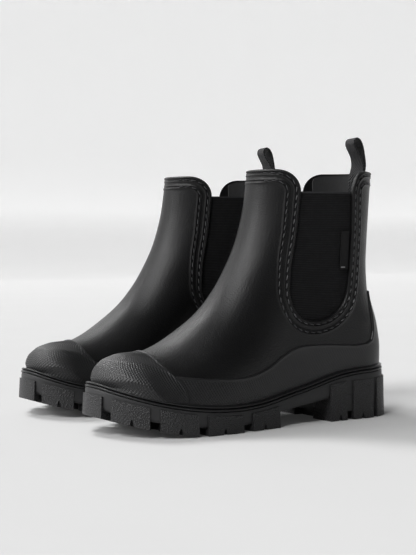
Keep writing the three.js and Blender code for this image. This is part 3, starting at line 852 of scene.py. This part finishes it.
seams = Shells()
for depth in SEAM_DEPTHS:
    path = seam_paths(depth)
    for side in (OUTER, INNER):
        fine = resample(np.hstack(surface_place(path[:, 0], path[:, 1], side)), SEAM_STEP)
        step, dash = (int(round(length / SEAM_STEP)) for length in (STITCH_PITCH, STITCH_LENGTH))
        for k in range(0, len(fine) - dash, step):
            normal = fine[k + dash // 2, 3:6] / np.linalg.norm(fine[k + dash // 2, 3:6])
            along = fine[k + dash, :3] - fine[k, :3]
            slant = np.cross(normal, along / np.linalg.norm(along)) * STITCH_SLANT
            start = fine[k, :3] + slant - normal * STITCH_SINK
            end = fine[k + dash, :3] - slant - normal * STITCH_SINK
            stitch(seams, start, end, normal, STITCH_WIDTH, STITCH_HEIGHT)
pair_of_pieces("mock_seams", seams.shape(), painted_highlight_stitch_marks(), 60)


# ---------------------------------------------------------------- toe cap
# A thicker rubber patch bonded over the toe, knurled on its sides and finely ribbed on top.
# A ridge divides the two patterns, and its rear edge stands proud as a small lip.

toe_cap_edge = smooth_line([(-76.5, 24), (-77.5, 36), (-82, 43.5), (-87.5, 51), (-90, 57), (-91.5, 80)])
toe_cap_outline = np.vstack([toe_cap_edge, [(-300, 80), (-300, 0), (-76.5, 0)]])
# The ridge between the ribbed top and the knurled side, as [x, height]
toe_ridge = smooth_line([(-160, 56), (-119, 54.6), (-108, 54), (-95, 51), (-88, 48), (-70, 42)])
OVERLAY_BACK = -0.3


def staggered_waves(run, rise, across, apart):
    """Two crossed sets of waves, whose sum peaks in staggered rows. The sizes are in millimetres."""
    lean = across / (2 * apart)
    return [np.sin(2 * np.pi / across * (run + sign * lean * rise)) for sign in (1, -1)]


def textured_rubber(name, dark, light):
    """Rubber from an engraved mould: near black and glossier than the upper, so that each peak glints."""
    material, tree, shader = start_material(name, IOR=1.52, Roughness=0.42, Specular_IOR_Level=0.42)
    place = add_node(tree, "TexCoord").outputs["Object"]
    haze = add_node(tree, "TexNoise", links={"Vector": place, "Scale": 30.0, "Detail": 4.0})
    surface(tree, shader, haze.outputs["Fac"], (dark, light), (0.36, 0.46))
    return material


def overlay(patch, field, lip, thickness=1.3):
    """A bonded patch's height over the upper, by distance in from its edge: a rolled lip, then the flat."""
    across = np.array([0, 0.15, 0.45, 0.9, 1.6, 2.3, 3.0])
    profile = thickness * np.array([0, 0.6, 0.95, 1, 1, 1, 1]) + lip * np.array([0, 0, 0, 1, 1, 1 / 3, 0])
    profile[0] = 0.05
    field = patch.split(field, across[:-1])
    field = field[patch.keep(field, low=0)]
    return np.interp(field, across, profile), field


cap = upper_sheet(300, np.linspace(0, 0.42, 200), toe_from=0.7)
cap_height, cap_field = overlay(cap, depth_inside(cap, toe_cap_edge, toe_cap_outline), lip=0.25)
above_ridge = cap.z() - value_at(toe_ridge, cap.x())
ridge_bump = 0.45 * np.exp(-((above_ridge / 1.6) ** 2))
on_top = smooth_step(above_ridge, -0.6, 0.6)
# Peaks 2.3 mm apart in rows 1.5 mm apart on the sides, and slanting ribs 1.9 mm apart on top
peaks = np.maximum(sum(staggered_waves(cap.run(), cap.rise(), 2.3, 1.5)), -0.5)
ribs = np.dot((1.0, 0.4), staggered_waves(cap.run(), cap.rise(), 2.3, 1.6))
texture = 0.17 * peaks * (1 - on_top) + 0.13 * ribs * on_top
cap_shape = cap.thicken(cap_height + (ridge_bump + texture) * np.clip(cap_field / 2.5, 0, 1), OVERLAY_BACK)
pair_of_pieces("knurled_toe_cap", cap_shape, textured_rubber("knurled_rubber", "#171718", "#1f1f20"),
               80, "toe_cap")


# ---------------------------------------------------------------- foxing
# A rubber band bonded round the foot above the welt, from the toe cap to a tab up the back of the heel.
# Its face has a fine slanting hatch, and its upper edge is rolled into a thin bright line.

foxing_edge = smooth_line([
    (-82, 44.5), (-67, 43), (-51, 42), (-21, 42), (1, 48), (16, 56), (32, 62), (56, 63), (92, 61)])
heel_tab = [(104, 62), (110, 64.5), (113, 71), (113.5, 78), (113.5, 105)]
UNDER_CAP = 1.6
CAP_END_TOP = 44.2

# The levels are close together in the band and wider apart up the heel tab.
foxing = upper_sheet(760, np.concatenate([np.linspace(0, 0.14, 85), np.linspace(0.14, 0.5, 90)[1:]]))
cap_start = offset_line(toe_cap_edge, -UNDER_CAP)
cap_start = cap_start[cap_start[:, 1] < CAP_END_TOP]
foxing_rim = np.vstack([cap_start, foxing_edge, heel_tab])
foxing_outline = np.vstack([[(cap_start[0, 0], -50)], foxing_rim, [(300, 105), (300, -50)]])
foxing_rim = np.vstack([foxing_rim, [(300, 105)]])
foxing_height, foxing_field = overlay(foxing, depth_inside(foxing, foxing_rim, foxing_outline), lip=0.18)
# Lines 1.9 mm apart: the rising set is cut deeper than the falling one, and both fade out at the heel
hatch = np.dot((1.0, 0.5), staggered_waves(foxing.run(), foxing.rise(), 2.4, 1.5))
hatch = 0.15 * hatch * np.clip((foxing_field - 1.8) / 1.5, 0, 1)
hatch *= (1 - 0.65 * smooth_step(foxing.x(), -40, 60)) * (1 - smooth_step(foxing.z(), 60, 68))
foxing_shape = foxing.thicken(foxing_height + hatch, OVERLAY_BACK)
pair_of_pieces("hatched_foxing", foxing_shape, textured_rubber("hatched_rubber", "#19191a", "#202021"),
               80, "foxing")


# ---------------------------------------------------------------- elastic gores
# A woven elastic panel behind each window, 1.2 mm thick, stretched between the two sides of the shaft.
# Its rubber cords run across as fine ribs, and a thin paler selvage closes its top.

RIB_PITCH = 1.45
GORE_FACE = -2.8
GORE_BACK = -4.0


def thread_waves(tree, pitches):
    """One wave for each measure of the mesh that is named, with its pitch in millimetres."""
    waves = []
    for measure, pitch in pitches:
        along = add_node(tree, "Attribute", {"attribute_name": measure}).outputs["Fac"]
        turns = add_node(tree, "Math", {"operation": "MULTIPLY"}, {0: along, 1: 2 * math.pi / pitch})
        waves.append(add_node(tree, "Math", {"operation": "SINE"}, {0: turns.outputs[0]}).outputs[0])
    return waves


def woven_elastic():
    """Elastic webbing: dull black yarn over rubber cords, with a faint fuzz at grazing angles. The cords'
    crests are painted paler and the troughs between them darker, as painted shade, broken by a random fleck.
    """
    material, tree, shader = start_material(
        "woven_elastic", IOR=1.48, Roughness=0.92, Specular_IOR_Level=0.25,
        Sheen_Weight=0.03, Sheen_Roughness=0.5)
    place = add_node(tree, "TexCoord").outputs["Object"]
    rise = add_node(tree, "Attribute", {"attribute_name": "rise_mm"}).outputs["Fac"]
    cord_turns = add_node(tree, "Math", {"operation": "MULTIPLY"}, {0: rise, 1: 2 * math.pi / RIB_PITCH})
    cord = add_node(tree, "Math", {"operation": "COSINE"}, {0: cord_turns.outputs[0]})
    # Painted shade: the colour follows the cords' rise, paler on their crests and darker in the troughs
    # between them.
    painted_rib_shade = add_node(tree, "MapRange", links={"Value": cord.outputs[0], "From Min": -1.0})
    fleck = add_node(tree, "TexNoise", links={"Vector": place, "Scale": 260.0, "Detail": 6.0})
    painted_shade_with_fleck = add_node(tree, "Math", {"operation": "MULTIPLY"}, {
        0: painted_rib_shade.outputs["Result"], 1: fleck.outputs["Fac"]})
    tint = add_node(tree, "MixRGB", links={
        "Fac": painted_shade_with_fleck.outputs[0], "Color1": colour("#060607"), "Color2": colour("#252527")})
    selvage = add_node(tree, "Attribute", {"attribute_name": "selvage"}).outputs["Fac"]
    yarn, = thread_waves(tree, [("run_mm", 0.9)])
    surface(tree, shader, selvage, (tint.outputs["Color"], "#303032"), None, yarn, (0.35, 0.00012))
    return material


def side_sheet(side, x_values, z_values):
    """A patch of the upper's surface on a grid of the side view."""
    z, x = np.meshgrid(z_values, x_values, indexing="ij")
    place, normal = surface_place(x, z, side)
    return grid_sheet(place, normal * np.sign(normal[..., 1] * side)[..., None], x, z)


GORE_OVERLAP = 8.0
GORE_FOOT = 73.0
GORE_SPAN = (14, 97)
gore_outline = np.vstack([gore_line, [(85.5, 400), (35, 400)]])
elastic = woven_elastic()
gore_rows = np.arange(GORE_FOOT, GORE_TOP + 0.01, RIB_PITCH / 5)
gore_rows = np.append(gore_rows[gore_rows < GORE_TOP - 0.05], GORE_TOP)
for side, side_name in ((OUTER, "outer"), (INNER, "inner")):
    panel = side_sheet(side, np.linspace(*GORE_SPAN, 56), gore_rows)
    panel_field = panel.split(depth_inside(panel, gore_line, gore_outline), [-GORE_OVERLAP])
    panel.keep(panel_field, low=-GORE_OVERLAP)
    rib = 0.13 * np.cos(2 * np.pi * panel.z() / RIB_PITCH)
    selvage = smooth_step(panel.z(), GORE_TOP - 1.6, GORE_TOP - 1.2)
    panel_shape = panel.thicken(GORE_FACE + np.where(selvage > 0.5, 0.1, rib - 0.1), GORE_BACK)
    measures = {**panel.both_faces(), "selvage": np.tile(selvage, 2)}
    for prefix, piece in pair_of_pieces(f"elastic_{side_name}", panel_shape, elastic, 60,
                                        f"gore_{side_name}", measures=measures):
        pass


# ---------------------------------------------------------------- lining
# A black knitted lining bonded inside the shell, from the footbed to just under the collar.
# It stops short of the elastic at both sides, where the gore's own back is the inside.

def knitted_lining():
    """Brushed polyester knit: very dark, matt, with a fine rib and a soft fuzz."""
    material, tree, shader = start_material(
        "knitted_lining", IOR=1.5, Roughness=0.95, Sheen_Weight=0.2, Sheen_Roughness=0.6)
    place = add_node(tree, "TexCoord").outputs["Object"]
    fuzz = add_node(tree, "TexNoise", links={"Vector": place, "Scale": 420.0, "Detail": 6.0})
    # Knit wales are about 1 mm apart.
    wale, course = thread_waves(tree, [("run_mm", 1.1), ("rise_mm", 1.4)])
    knit = add_node(tree, "Math", {"operation": "MULTIPLY"}, {0: wale, 1: course})
    surface(tree, shader, fuzz.outputs["Fac"], ("#0f0f10", "#222224"), None, knit.outputs[0], (0.5, 0.0003))
    return material


LINING_TOP = 203.0
GORE_ALLOWANCE = 8.6
knit = knitted_lining()
lining = upper_sheet(90, np.linspace(0, 1, 80))
lining_gap = np.vstack([(35, 400), gore_line, (85.5, 400)])
lining_field = np.minimum.reduce([
    -depth_inside(lining, lining_gap, lining_gap) - GORE_ALLOWANCE, LINING_TOP - lining.z(),
    from_rim(lining.x(), lining.z()) - COLLAR + LINING_TOP])
lining.keep(lining.split(lining_field, [0.0]), low=0)
for prefix, piece in pair_of_pieces("knit_lining", lining.thicken(GORE_FACE, GORE_BACK), knit,
                                    60, "lining", measures=lining.both_faces()):
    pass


# ---------------------------------------------------------------- footbed
# A removable foam insole covered with the lining's knit, laid on the insole board.
# It is crowned a little along its middle and rounded off at its edge.

FOOT_INSET = 6.4
# Further in from the upper's face, and height over the welt's top
FOOTBED_SECTION = [(1.0, 2.7), (0.3, 3.5), (0.6, 4.9), (2.0, 6.0), (4.0, 6.5), (7.0, 6.7), (12.0, 7.2)]


def foot_outline(count):
    """The upper's edge where it stands on the welt, seen from above."""
    angle = np.linspace(0, math.pi, count + 1)
    x = back_line[0, 0] + (front_line[0, 0] - back_line[0, 0]) * (1 - np.cos(angle)) / 2
    outer = np.column_stack([x, upper_edge(x, welt_top(x), OUTER)])
    inner = np.column_stack([x, upper_edge(x, welt_top(x), INNER)])[1:-1][::-1]
    return np.vstack([outer, inner])


foot_ring = foot_outline(110)
foot_inward = inward(foot_ring)
footbed_rings = []
for inset, lift in FOOTBED_SECTION:
    ring = foot_ring + foot_inward * (FOOT_INSET + inset)
    footbed_rings.append(np.column_stack([ring, welt_top(ring[:, 0]) + lift]))
footbed = Shells()
ring_shell(footbed, footbed_rings)
footbed_points, _ = footbed.shape()
footbed_measures = {"run_mm": footbed_points[:, 1], "rise_mm": footbed_points[:, 0]}
for _, piece in pair_of_pieces("covered_footbed", footbed.shape(), knit, 60, "footbed",
                               measures=footbed_measures):
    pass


# ---------------------------------------------------------------- label
# A small folded tab of black woven tape, sewn in along the gore's rear edge and left blank.
# Only a thin woven line near its foot breaks its face.

LABEL_LOW, LABEL_TALL, LABEL_WIDE = 124.0, 31.0, 9.5
LABEL_SEAM = 83.55


def woven_tape():
    """Damask label tape: smooth black satin with a fine crosswise weave."""
    material, tree, shader = start_material("woven_tape", IOR=1.5, Roughness=0.6, Specular_IOR_Level=0.25)
    line = add_node(tree, "Attribute", {"attribute_name": "woven_line"}).outputs["Fac"]
    warp, weft = thread_waves(tree, [("run_mm", 0.7), ("rise_mm", 0.55)])
    weave = add_node(tree, "Math", {"operation": "ADD"}, {0: warp, 1: weft})
    surface(tree, shader, line, ("#0a0a0b", "#8e8e90"), None, weave.outputs[0], (0.3, 0.0001))
    return material


label = side_sheet(OUTER, np.linspace(LABEL_SEAM - LABEL_WIDE, LABEL_SEAM, 40),
                   np.linspace(LABEL_LOW, LABEL_LOW + LABEL_TALL, 120))
from_fold = label.x() - (LABEL_SEAM - LABEL_WIDE)
fold = 0.4 * np.sqrt(np.clip(1 - (1 - np.clip(from_fold / 0.5, 0, 1)) ** 2, 0.01, 1))
lift = GORE_FACE + 1.0 + 0.25 * np.sin(np.pi * np.clip(from_fold / LABEL_WIDE, 0, 1))
foot = label.z() - LABEL_LOW
woven_line = ((np.abs(foot - 1.6) < 0.3) & (from_fold > 0.8) & (from_fold < 5.4)).astype(float)
label_measures = {
    **label.both_faces(), "woven_line": np.concatenate([woven_line, np.zeros(len(woven_line))])}
for prefix, piece in pair_of_pieces("side_label", label.thicken(lift + fold, lift - fold), woven_tape(),
                                    60, "label", body="label", measures=label_measures):
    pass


# ---------------------------------------------------------------- pull loop
# A loop of twill webbing 18 mm wide. Its ends are sewn one on the other inside the back of the collar.
# It leans forward over the opening and bends where it leaves the collar.

STRAP_WIDTH = 18.0
STRAP_THICKNESS = 1.4
STRAP_TWIST = 2.4
STRAP_CURVE = 1.5
STRAP_ROUND = 0.8
TWILL_PITCH = 2.6


def twill_webbing():
    """Polyester webbing: black, with diagonal twill ribs and a plain selvage. The ribs' crests are painted
    paler and their troughs darker, as painted highlight and shade.
    """
    material, tree, shader = start_material(
        "twill_webbing", IOR=1.5, Roughness=0.72, Specular_IOR_Level=0.3,
        Sheen_Weight=0.05, Sheen_Roughness=0.4)
    run = add_node(tree, "Attribute", {"attribute_name": "run_mm"}).outputs["Fac"]
    across = add_node(tree, "Attribute", {"attribute_name": "across_mm"}).outputs["Fac"]
    # Twill ribs are about 1 mm apart, drawn at 1.8 mm so that they show.
    slope = add_node(tree, "Math", {"operation": "MULTIPLY_ADD"}, {0: across, 1: 1.0, 2: run})
    turns = add_node(tree, "Math", {"operation": "MULTIPLY"}, {
        0: slope.outputs[0], 1: 2 * math.pi / TWILL_PITCH})
    rib = add_node(tree, "Math", {"operation": "SINE"}, {0: turns.outputs[0]})
    yarn, = thread_waves(tree, [("across_mm", 0.9)])
    both = add_node(tree, "Math", {"operation": "MULTIPLY_ADD"}, {0: yarn, 1: 0.35, 2: rib.outputs[0]})
    # Painted highlight and shade: the colour follows the twill rib, pale on its crest and dark in its trough.
    share = add_node(tree, "MapRange", links={"Value": rib.outputs[0], "From Min": -1.0})
    surface(tree, shader, share.outputs["Result"], ("#09090a", "#2b2b2d"), None,
            both.outputs[0], (0.9, 0.0006))
    return material


STRAP_END = [(116.6, 184.5), (117.3, 192), (117.9, 199), (118.3, 204)]
STRAP_PATH = smooth_line(STRAP_END + [
    (118.7, 208), (118.6, 212.2), (116.4, 219), (113.4, 223.6), (111.2, 227.2), (110.1, 230.2), (110.8, 233),
    (113.3, 234.4), (116.4, 233.2), (118.8, 229.8), (120.4, 225), (121.0, 220), (120.9, 213), (120.4, 207.5),
    (119.8, 203.5), (119.2, 196), (118.2, 184.5)], 10)
strap_run = lengths_along(STRAP_PATH)
strap_side = np.gradient(STRAP_PATH, axis=0)
strap_side /= np.linalg.norm(strap_side, axis=1)[:, None]
strap_side = np.column_stack([-strap_side[:, 1], strap_side[:, 0]])


def strap_section():
    """A flat section with round selvages, as [across, through the thickness]."""
    round_from, thick = STRAP_WIDTH / 2 - STRAP_ROUND, STRAP_THICKNESS / 2
    top = [(a, thick) for a in np.linspace(-round_from, round_from, 19)]
    turns = np.linspace(0.4, math.pi - 0.4, 5)
    right = [(round_from + STRAP_ROUND * math.sin(a), thick * math.cos(a)) for a in turns]
    return np.array(top + right + [(-a, -t) for a, t in top] + [(-a, -t) for a, t in right])


section = strap_section()


def strap_shell(twist_side):
    """The strap swept along its line, leaning the same way on both boots."""
    points, along, across = [], [], []
    for (x, z), (nx, nz), s in zip(STRAP_PATH, strap_side, strap_run):
        curve = STRAP_CURVE * (1 - smooth_step(z, 201, 214))
        twist = twist_side * STRAP_TWIST * smooth_step(z, 206, 226)
        for a, t in section:
            share = a / (STRAP_WIDTH / 2)
            points.append((x + nx * t - curve * share**2 + twist * share, a, z + nz * t))
            along.append(s)
            across.append(a)
    rows, columns = len(STRAP_PATH), len(section)
    faces = grid_faces(rows, columns, wrap_columns=True)
    faces += [tuple(range(columns))[::-1], tuple(range((rows - 1) * columns, rows * columns))]
    shell = Shells()
    shell.outward(points, faces)
    return shell.shape(), {"run_mm": along, "across_mm": across}


webbing = twill_webbing()
for prefix, turn in BOOTS:
    strap, strap_measures = strap_shell(turn)
    piece = link_piece(f"{prefix}_webbing_pull_loop", strap, turn, webbing, 60, strap_measures)
    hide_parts(f"{prefix}_pull_loop", f"{prefix}_loop_anchor")
    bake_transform(piece)


# ---------------------------------------------------------------- box stitch
# Black thread holds the two ends of the loop to the collar: a stitched rectangle with a cross in it.
# Each stitch is a short round dash that sits just proud of the webbing.

def bonded_thread():
    """Bonded polyester thread: black and slightly waxy."""
    material, tree, shader = start_material("bonded_thread", IOR=1.5, Roughness=0.45)
    place = add_node(tree, "TexCoord").outputs["Object"]
    twist = add_node(tree, "TexWave", links={"Vector": place, "Scale": 900.0, "Distortion": 1.0})
    surface(tree, shader, twist.outputs["Fac"], ("#19191a", "#38383a"))
    return material


BOX_STITCH = 2.6
DASH_ENDS = (0.12, 0.88)
strap_end = np.array(STRAP_END)
box_stitch = Shells()
corners = [(-6.5, 186.5), (6.5, 186.5), (6.5, 199.5), (-6.5, 199.5)]
sides = [(corners[k], corners[(k + 1) % 4]) for k in range(4)]
for start, end in sides + [(corners[0], corners[2]), (corners[1], corners[3])]:
    start, end = np.array(start), np.array(end)
    count = int(np.linalg.norm(end - start) / BOX_STITCH)
    for k in range(count):
        ends = []
        for share in DASH_ENDS:
            y, z = start + (end - start) * (k + share) / count
            webbing_x = np.interp(z, strap_end[:, 1], strap_end[:, 0])
            sag = STRAP_CURVE * (y / (STRAP_WIDTH / 2)) ** 2
            ends.append(np.array([webbing_x - STRAP_THICKNESS / 2 - 0.05 - sag, y, z]))
        stitch(box_stitch, ends[0], ends[1], np.array([-1.0, 0, 0]), width=0.6, height=0.3)
pair_of_pieces("box_stitch", box_stitch.shape(), bonded_thread(), 60)


# ---------------------------------------------------------------- studio
# A seamless pale paper sweep under and behind the pair.
# Four far-off windows light it from the left, the front and above, with a dim even fill.

def seamless_paper():
    """Matt background paper: pale grey, faintly fibrous. Its upright part is painted whiter and made to glow,
    painted light that evens it with the floor.
    """
    material, tree, shader = start_material(
        "seamless_paper", IOR=1.45, Roughness=0.95, Specular_IOR_Level=0.1)
    place = add_node(tree, "TexCoord").outputs["Object"]
    height = add_node(tree, "SeparateXYZ", links={"Vector": place}).outputs["Z"]
    upright = add_node(tree, "MapRange", links={
        "Value": height, "From Min": 0.0, "From Max": 0.27}).outputs["Result"]
    fibre = add_node(tree, "TexNoise", links={"Vector": place, "Scale": 6.0, "Detail": 3.0})
    floor_tint = add_node(tree, "MixRGB", links={
        "Fac": fibre.outputs["Fac"], "Color1": colour("#bebebe"), "Color2": colour("#c1c1c1")})
    surface(tree, shader, upright, (floor_tint.outputs["Color"], "#e9e9e9"))
    # Painted light: the paper glows more the higher it stands, up the upright part.
    painted_glow = add_node(tree, "MapRange", links={"Value": upright, "To Min": 0.02, "To Max": 0.33})
    shader.inputs["Emission Color"].default_value = colour("#ffffff")
    tree.links.new(painted_glow.outputs["Result"], shader.inputs["Emission Strength"])
    return material


BEND_START, BEND_RADIUS = 3.2, 0.5
sweep_profile = [(-30.0, 0.0), (BEND_START, 0.0)]
sweep_profile += [(BEND_START + BEND_RADIUS * math.sin(a), BEND_RADIUS - BEND_RADIUS * math.cos(a))
                  for a in np.linspace(0.1, math.pi / 2, 16)]
sweep_profile += [(BEND_START + BEND_RADIUS, 5.0)]
sweep_points = [(side * 25.0, run, height) for run, height in sweep_profile for side in (-1, 1)]
sweep_mesh = bpy.data.meshes.new("paper_sweep")
sweep_mesh.from_pydata(sweep_points, [], grid_faces(len(sweep_profile), 2))
sweep_mesh.shade_smooth()
sweep_mesh.materials.append(seamless_paper())
sweep = bpy.data.objects.new("paper_sweep", sweep_mesh)
# Two of the windows stand behind the sweep, so the sweep lets their light through.
sweep.visible_shadow = False
bpy.context.scene.collection.objects.link(sweep)

world = bpy.data.worlds.new("studio_fill")
world.use_nodes = True
fill = world.node_tree.nodes["Background"]
fill.inputs["Color"].default_value = colour("#ffffff")
fill.inputs["Strength"].default_value = 0.1
bpy.context.scene.world = world


def window(name, direction, power, spread):
    """A wide far-off window of even light."""
    light = bpy.data.lights.new(name, "SUN")
    light.energy = power
    light.angle = math.radians(spread)
    holder = bpy.data.objects.new(name, light)
    holder.rotation_euler = Vector(direction).to_track_quat("Z", "Y").to_euler()
    bpy.context.scene.collection.objects.link(holder)


window("rear_side_window", (-0.82, 0.4, 0.42), 1.35, 20)
window("side_window", (-0.8, 0.04, 0.6), 1.15, 18)
window("front_window", (-0.6, -0.33, 0.73), 1.35, 14)
window("top_window", (-0.14, 0.64, 0.75), 2.3, 18)
bpy.context.scene.view_settings.view_transform = "Standard"


# ---------------------------------------------------------------- camera
# It looks at the outer side of the left boot from the front quarter, a little above the ankle.

CAMERA = {"turn": -33.79864, "height": 147.70997, "distance": 1002.17926, "focal": 1236.06044,
          "pitch": 1.7292, "pan": 1.61454}
FRAME_HEIGHT = 555
turn = math.radians(CAMERA["turn"])
pitch = math.radians(CAMERA["pitch"])
pan = math.radians(CAMERA["pan"])
away = CAMERA["distance"]
spot = Vector((math.sin(turn) * away, -math.cos(turn) * away - HALF_PAIR, CAMERA["height"])) / 1000
level = Matrix.Rotation(pan, 3, "Z") @ Vector((-math.sin(turn), math.cos(turn), 0))
right = Vector((level.y, -level.x, 0)).normalized()
forward = Vector((level.x * math.cos(pitch), level.y * math.cos(pitch), -math.sin(pitch)))
up = right.cross(forward)
camera_data = bpy.data.cameras.new("studio_camera")
camera_data.sensor_fit = "VERTICAL"
camera_data.sensor_height = 36.0
camera_data.lens = CAMERA["focal"] / FRAME_HEIGHT * 36.0
camera_data.clip_end = 50
camera = bpy.data.objects.new("studio_camera", camera_data)
camera.matrix_world = Matrix.Translation(spot) @ Matrix((right, up, -forward)).transposed().to_4x4()
bpy.context.scene.collection.objects.link(camera)
bpy.context.scene.camera = camera
